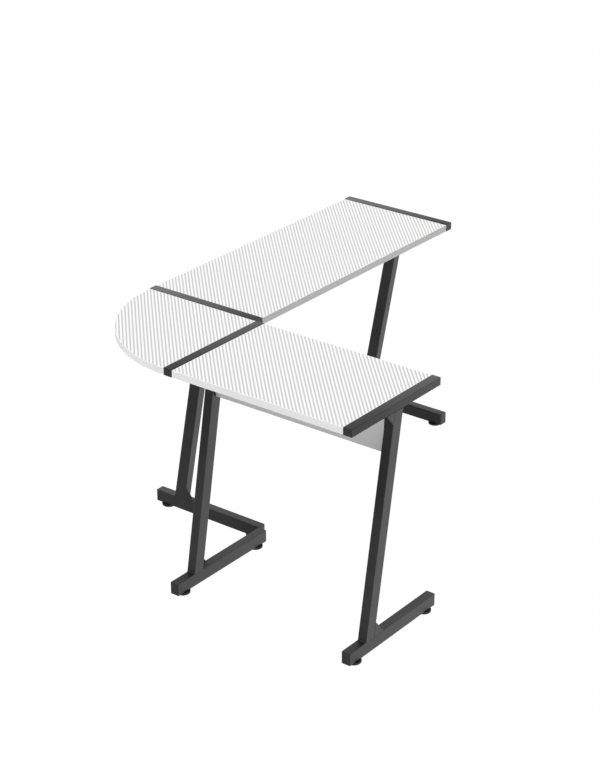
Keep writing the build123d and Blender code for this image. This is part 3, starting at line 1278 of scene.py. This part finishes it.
@dataclass
class WeldBeads:
    """Rippled fillet welds where the posts and gussets meet the rails, under the powder coat."""

    radius: float = 0.0016
    ripple_pitch: float = 0.0013
    ripple_swell: float = 1.12
    ripple_merge: float = 0.00001
    ripple_count: int = 20
    end_inset: float = 0.00064
    end_dome: float = 0.00048
    half_tube: float = 0.015
    end_margin: float = 0.0018
    gusset_thickness: float = 0.003
    post_level_depth: float = 0.04065
    stand_off: float = 0.0003

    def model(self) -> bpy.types.Object:
        """Models one straight bead along +X, centred on the origin.

        Returns:
            The pattern that every bead is copied and stretched from.
        """
        choose()
        bpy.ops.mesh.primitive_circle_add(
            vertices=14,
            radius=self.radius,
            fill_type="NOTHING",
            location=(-self.ripple_pitch * self.ripple_count / 2, 0.0, 0.0),
            rotation=(0.0, math.pi / 2, 0.0),
        )
        piece = start_piece("weld_bead_pattern")
        pick_edges(piece, lambda a, b: True)
        for swell in (self.ripple_swell, 1 / self.ripple_swell):
            extrude(ALONG_X * (self.ripple_pitch / 2))
            bpy.ops.transform.resize(value=(1.0, swell, swell), center_override=(0.0, 0.0, 0.0))
        apply_modifier(
            piece,
            "ARRAY",
            count=self.ripple_count,
            use_relative_offset=False,
            use_constant_offset=True,
            constant_offset_displace=(self.ripple_pitch, 0.0, 0.0),
            use_merge_vertices=True,
            merge_threshold=self.ripple_merge,
        )
        pick_all(piece)
        bpy.ops.mesh.fill_holes(sides=0)
        pick_faces(piece, lambda middle, normal: abs(normal.x) > FACING)
        bpy.ops.mesh.inset(thickness=self.end_inset, depth=self.end_dome)
        tidy_mesh(piece)
        return piece

    def runs(self, place: FrameName) -> list:
        """Lists the beads of one frame.

        Args:
            place: the frame.

        Returns:
            The two ends of each bead, in the frame's own axes.
        """
        seat = place.seat().inverted()
        low, high = (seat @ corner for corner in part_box(f"{place.value}_post"))
        near, far = min(low.x, high.x), max(low.x, high.x)
        under, over = low.z, high.z
        side = place.gusset_side()
        reach = self.half_tube - self.end_margin
        plate = self.half_tube - self.gusset_thickness
        inside = side * (plate - self.stand_off)
        lean = (far - near - self.post_level_depth) / (over - under)
        beads = []
        for height, inner, gusset, turn in (
            (over, near, "top_gusset", -1),
            (under, far - self.post_level_depth, "foot_gusset", 1),
        ):
            outer = inner + self.post_level_depth
            # The gusset stands outside the post's top, and inside its foot.
            gusset_edge, free_edge = (outer, inner) if gusset == "top_gusset" else (inner, outer)
            box_low, box_high = (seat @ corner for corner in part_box(f"{place.value}_{gusset}"))
            leg, rise = abs(box_high.x - box_low.x), abs(box_high.z - box_low.z)
            out = -turn
            level = height + turn * self.stand_off
            free, edge = free_edge - out * self.stand_off, gusset_edge + out * self.stand_off
            start, end = gusset_edge + out * self.end_margin, gusset_edge + out * (leg - self.end_margin)
            foot, drop = height + turn * self.end_margin, turn * (rise - self.end_margin)
            beads += [
                ((free, -reach, level), (free, reach, level)),
                ((edge, -side * reach, level), (edge, side * plate, level)),
                ((start, inside, level), (end, inside, level)),
                ((edge, inside, foot), (edge - lean * drop, inside, height + drop)),
            ]
        return [(Vector(start), Vector(end)) for start, end in beads]

    def build(self, coat: bpy.types.Material) -> None:
        """Models one bead and lays copies of it along every joint.

        Args:
            coat: the powder coat.
        """
        pattern = self.model()
        length = self.ripple_pitch * self.ripple_count
        for place in FrameName:
            copies = []
            for start, end in self.runs(place):
                run = end - start
                turn = ALONG_X.rotation_difference(run).to_matrix().to_4x4()
                stretch = Matrix.Diagonal((run.length / length, 1.0, 1.0, 1.0))
                spot = Matrix.Translation((start + end) / 2)
                copies.append(place_copy(pattern, "weld_bead_copy", place.seat() @ spot @ turn @ stretch))
            piece = join(f"{place.value}_weld_beads", copies)
            hand_over(piece, coat, "powder_coated_steel", ROOT_BODY)
        bpy.data.objects.remove(pattern)


# Studio


@dataclass
class OverheadLight:
    """Soft, even light from nearly straight above, a little from the front and the left."""

    comes_from: tuple = (-0.14, -0.39, 0.92)
    strength: float = 3.92
    spread_degrees: float = 26.0

    def build(self) -> None:
        """Adds the light."""
        bpy.ops.object.light_add(type="SUN")
        light = bpy.context.object
        light.name = "overhead_soft_light"
        light.data.energy = self.strength
        light.data.angle = math.radians(self.spread_degrees)
        light.visible_glossy = False
        light.rotation_euler = (-Vector(self.comes_from)).to_track_quat("-Z", "Y").to_euler()
        log.info("added light %s", light.name)


@dataclass
class Studio:
    """Pale floor and surround, soft light and the camera."""

    floor_radius: float = 60.0
    floor_glow: float = 1.0
    floor_albedo: float = 0.02
    surround_way: tuple = (0.6, 0.8, 0.0)
    surround_span: tuple = (-0.9, 0.9)
    surround_glow: tuple = (0.24, 1.28)
    camera_azimuth: float = 37.638
    camera_elevation: float = 24.963
    camera_distance: float = 6.7464
    camera_aim: tuple = (-0.21892, 0.02020, 0.39453)
    camera_roll: float = -0.161
    lens: float = 99.55
    sensor_width: float = 36.0
    light: OverheadLight = field(default_factory=OverheadLight)

    def build(self) -> None:
        """Adds the floor, the lights and the camera."""
        self.add_floor()
        self.add_world()
        self.light.build()
        self.add_camera()

    def add_floor(self) -> None:
        """Adds a large pale disc under the desk."""
        choose()
        bpy.ops.mesh.primitive_circle_add(vertices=64, radius=self.floor_radius, fill_type="NGON")
        floor = bpy.context.object
        floor.name = "studio_floor"
        g = Graph("pale_floor")
        g.finish("Base Color", (*[self.floor_albedo] * 3, 1.0))
        g.finish("Roughness", 1.0)
        g.finish("Specular IOR Level", 0.0)
        g.finish("Emission Color", WHITE)
        g.finish("Emission Strength", self.floor_glow)
        floor.data.materials.append(g.material)
        floor.visible_glossy = False

    def add_world(self) -> None:
        """Adds a soft surround for reflections and as a backdrop, brighter on one side."""
        world = bpy.data.worlds.new("soft_surround")
        bpy.context.scene.world = world
        world.use_nodes = True
        w = Wiring(world.node_tree)
        toward = w.dot(w.add("ShaderNodeTexCoord").outputs["Generated"], self.surround_way)
        glow = w.spread(toward, self.surround_span, self.surround_glow)
        # Seen directly, the surround is the same white as the floor.
        seen = w.add("ShaderNodeLightPath").outputs["Is Camera Ray"]
        background = w.add("ShaderNodeBackground")
        w.feed(background.inputs["Color"], WHITE)
        w.feed(background.inputs["Strength"], w.math("MAXIMUM", seen, glow))
        w.feed(w.add("ShaderNodeOutputWorld").inputs["Surface"], background.outputs[0])
        world.cycles_visibility.diffuse = False

    def add_camera(self) -> None:
        """Adds the camera at its bearing from the point that it is aimed at."""
        azimuth, elevation = math.radians(self.camera_azimuth), math.radians(self.camera_elevation)
        back = Vector(
            (
                math.sin(azimuth) * math.cos(elevation),
                -math.cos(azimuth) * math.cos(elevation),
                math.sin(elevation),
            )
        )
        data = bpy.data.cameras.new("view_camera")
        data.lens = self.lens
        data.sensor_width = self.sensor_width
        camera = bpy.data.objects.new("view_camera", data)
        bpy.context.scene.collection.objects.link(camera)
        camera.location = Vector(self.camera_aim) + back * self.camera_distance
        roll = Quaternion((0.0, 0.0, 1.0), math.radians(self.camera_roll))
        camera.rotation_mode = "QUATERNION"
        camera.rotation_quaternion = (-back).to_track_quat("-Z", "Y") @ roll
        bpy.context.scene.camera = camera


def main() -> None:
    """Builds the desk's sub-assemblies in order, then the studio."""
    logging.basicConfig(level=logging.INFO, format="%(name)s: %(message)s")
    coat = POWDER_COAT.build()
    zinc = ZINC_PLATE.build()
    band = EDGE_BAND.build()
    cap_plastic = CAP_PLASTIC.build()
    glide_plastic = GLIDE_PLASTIC.build()
    Worktops().build(WORKTOP_LAMINATE.build(), band)
    ModestyPanels().build(PANEL_LAMINATE_PAINTED_SHADE.build(), band)
    # Top rails, and the short frames' foot rails, get coat copies with painted shading: dark to light along
    # each rail, for reflection and shade.
    painted_shading_coats = {
        "long": (LONG_RAIL_PAINTED_SHADING_COAT.build(), coat),
        "short": (SHORT_RAIL_PAINTED_SHADING_COAT.build(), SHORT_FOOT_PAINTED_SHADING_COAT.build()),
    }
    for place in FrameName:
        ZFrame(place).build(coat, *painted_shading_coats[place.value.split("_")[0]])
    for node in ("worktop_tabs", "modesty_panel_tabs"):
        dress(node, coat)
    dress("glide_weld_nuts", zinc)
    WeldBeads().build(coat)
    EndCaps().build(cap_plastic)
    WoodScrews().build(zinc)
    LevellingGlides().build(glide_plastic, zinc)
    Studio().build()
    bpy.context.scene.view_settings.view_transform = "Standard"


if __name__ == "__main__":
    main()
